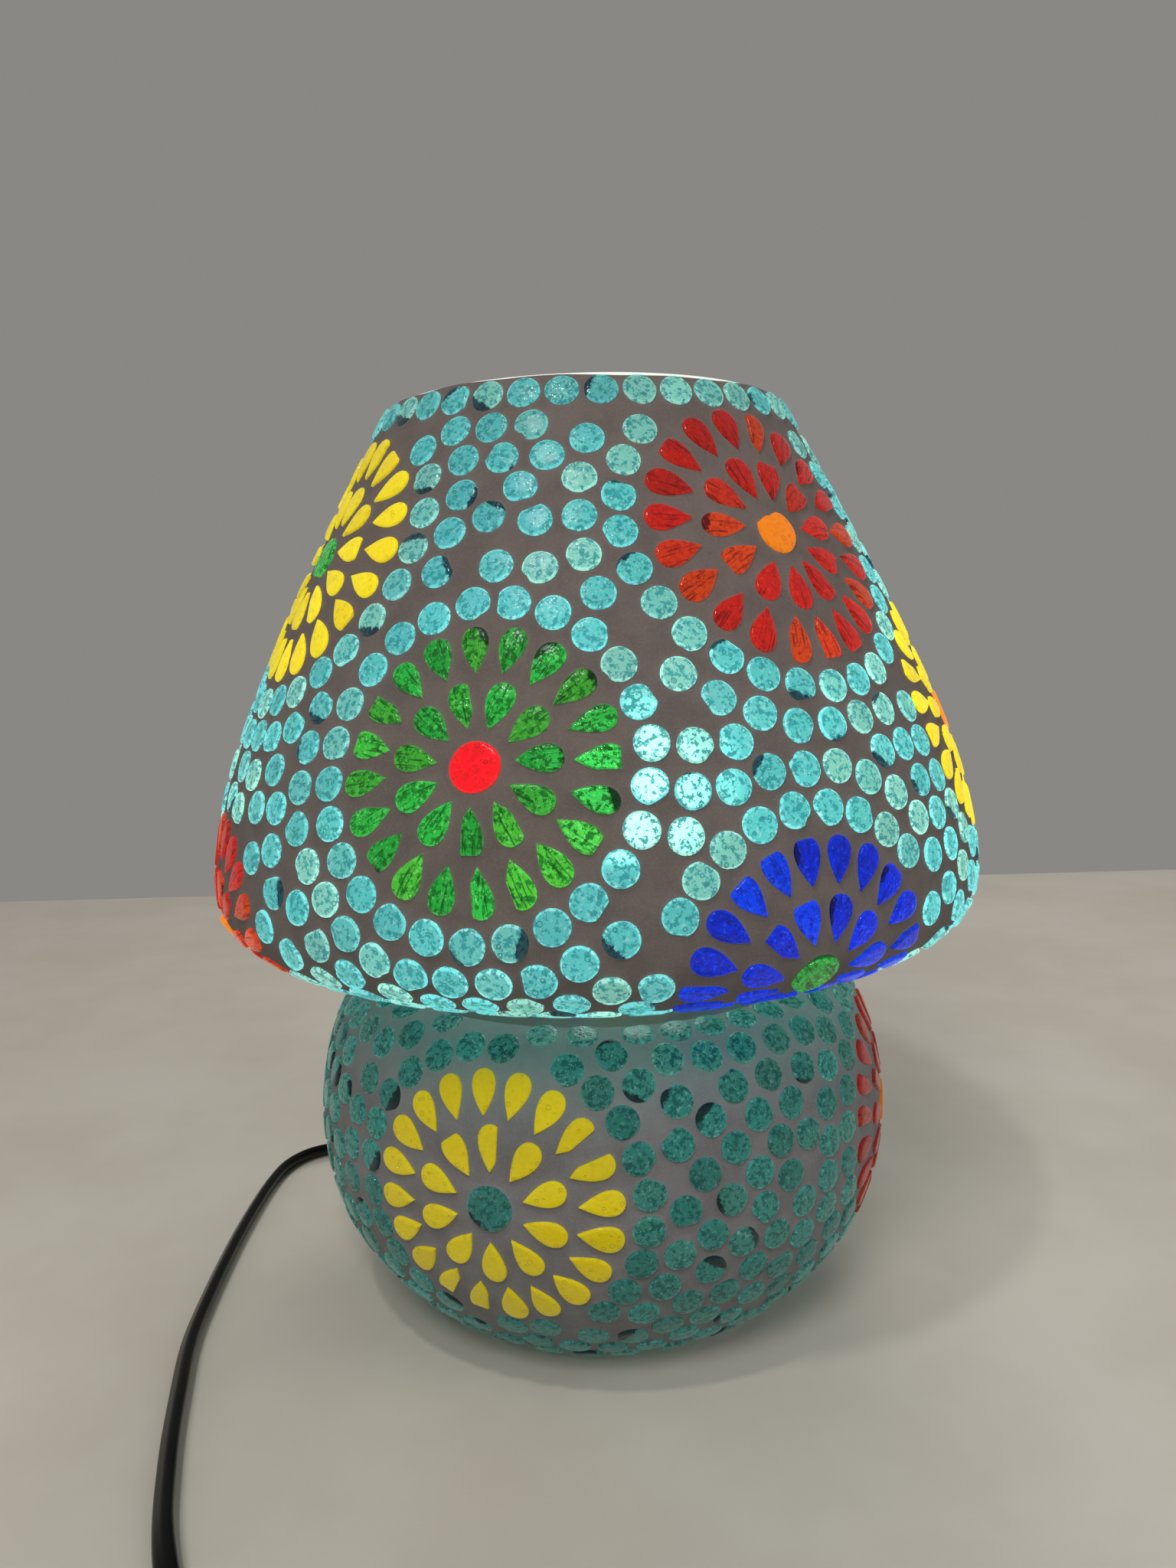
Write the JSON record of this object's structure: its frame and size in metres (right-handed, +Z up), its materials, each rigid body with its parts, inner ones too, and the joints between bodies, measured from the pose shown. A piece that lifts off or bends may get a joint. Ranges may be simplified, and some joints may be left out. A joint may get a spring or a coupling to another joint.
{
  "type": "mosaic glass table lamp",
  "caption": "Mushroom-shaped table lamp of blown glass, faced with round and petal-shaped glass chips in grout, with a bulb in the shade and a switched flat flex.",
  "frame": {"origin": "centre of the flat foot of the base, on the table", "axes": "+Z up along the lamp's axis, -Y towards the viewer in front, +X to the viewer's right"},
  "size_m": [0.2169, 0.333, 0.24],
  "materials": {
    "clear_glass": "blown, slightly frosted, clear at the rim",
    "shade_grout": "matt mineral grout, mauve brown",
    "base_grout": "matt mineral grout, grey lavender",
    "teal_glass": "turquoise cathedral glass, bubbly",
    "dark_teal_glass": "sea-green cathedral glass, bubbly",
    "green_glass": "grainy green glass",
    "red_glass": "red glass",
    "yellow_glass": "opaque yellow glass",
    "blue_glass": "cobalt glass",
    "orange_glass": "orange glass",
    "zinc_steel": "zinc plated",
    "brass": "plain",
    "cream_plastic": "moulded, heat resistant",
    "porcelain": "glazed insulator",
    "opal_diffuser": "opal",
    "white_plastic": "moulded",
    "phosphor": "phosphor coated",
    "black_glass": "moulded insulator",
    "flex_black": "flat two-core sheath, satin",
    "core_sheath": "core insulation",
    "soft_black": "soft vinyl",
    "switch_black": "moulded, fine texture",
    "rocker_black": "polished"
  },
  "bodies": {
    "lamp": {"glass_body": "clear_glass", "shade_grout": "shade_grout", "base_grout": "base_grout", "rim_beads": "teal_glass", "shade_ring_beads": "teal_glass", "shade_field_beads": "teal_glass", "shade_floor_beads": "teal_glass", "base_ring_beads": "dark_teal_glass", "base_field_beads": "dark_teal_glass", "base_floor_beads": "dark_teal_glass", "shade_green_petals": "green_glass", "shade_red_petals": "red_glass", "shade_yellow_petals": "yellow_glass", "shade_blue_petals": "blue_glass", "base_yellow_petals": "yellow_glass", "base_red_petals": "red_glass", "base_green_petals": "green_glass", "base_blue_petals": "blue_glass", "red_eyes": "red_glass", "orange_eyes": "orange_glass", "green_eyes": "green_glass", "teal_eyes": "dark_teal_glass", "clip_bracket": "zinc_steel", "thread_nipple": "brass", "lower_nut": "brass", "upper_nut": "brass", "holder_cap": "cream_plastic", "holder_skirt": "cream_plastic", "holder_insulator": "porcelain", "holder_thread_shell": "brass", "holder_centre_contact": "brass", "terminal_screws": "brass", "core_wires": "core_sheath", "inner_flex": "flex_black", "cord_grommet": "soft_black", "cord_run": "flex_black", "cord_lead": "flex_black", "cord_coil": "flex_black", "cord_tail": "flex_black", "switch_base": "switch_black", "switch_cover": "switch_black", "rocker_pin": "zinc_steel", "switch_contacts": "brass", "switch_terminals": "brass", "switch_screws": "zinc_steel", "plug_body": "switch_black", "plug_boot": "soft_black", "plug_pins": "brass"},
    "bulb": {"bulb_diffuser": "opal_diffuser", "bulb_collar": "white_plastic", "led_board": "white_plastic", "led_chips": "phosphor", "bulb_screw_cap": "zinc_steel", "bulb_cap_insulator": "black_glass", "bulb_tip_contact": "zinc_steel"},
    "rocker": {"switch_rocker": "rocker_black"}
  },
  "joints": [
    {"name": "bulb_removal", "type": "slide", "parent": "lamp", "child": "bulb", "axis": [0, 0, 1], "range_m": [0, 0.165]},
    {"name": "rocker_tilt", "type": "hinge", "parent": "lamp", "child": "rocker", "pos_m": [-0.009, -0.145, 0.0134], "axis": [0, 1, 0], "range_deg": [-16, 0]}
  ]
}
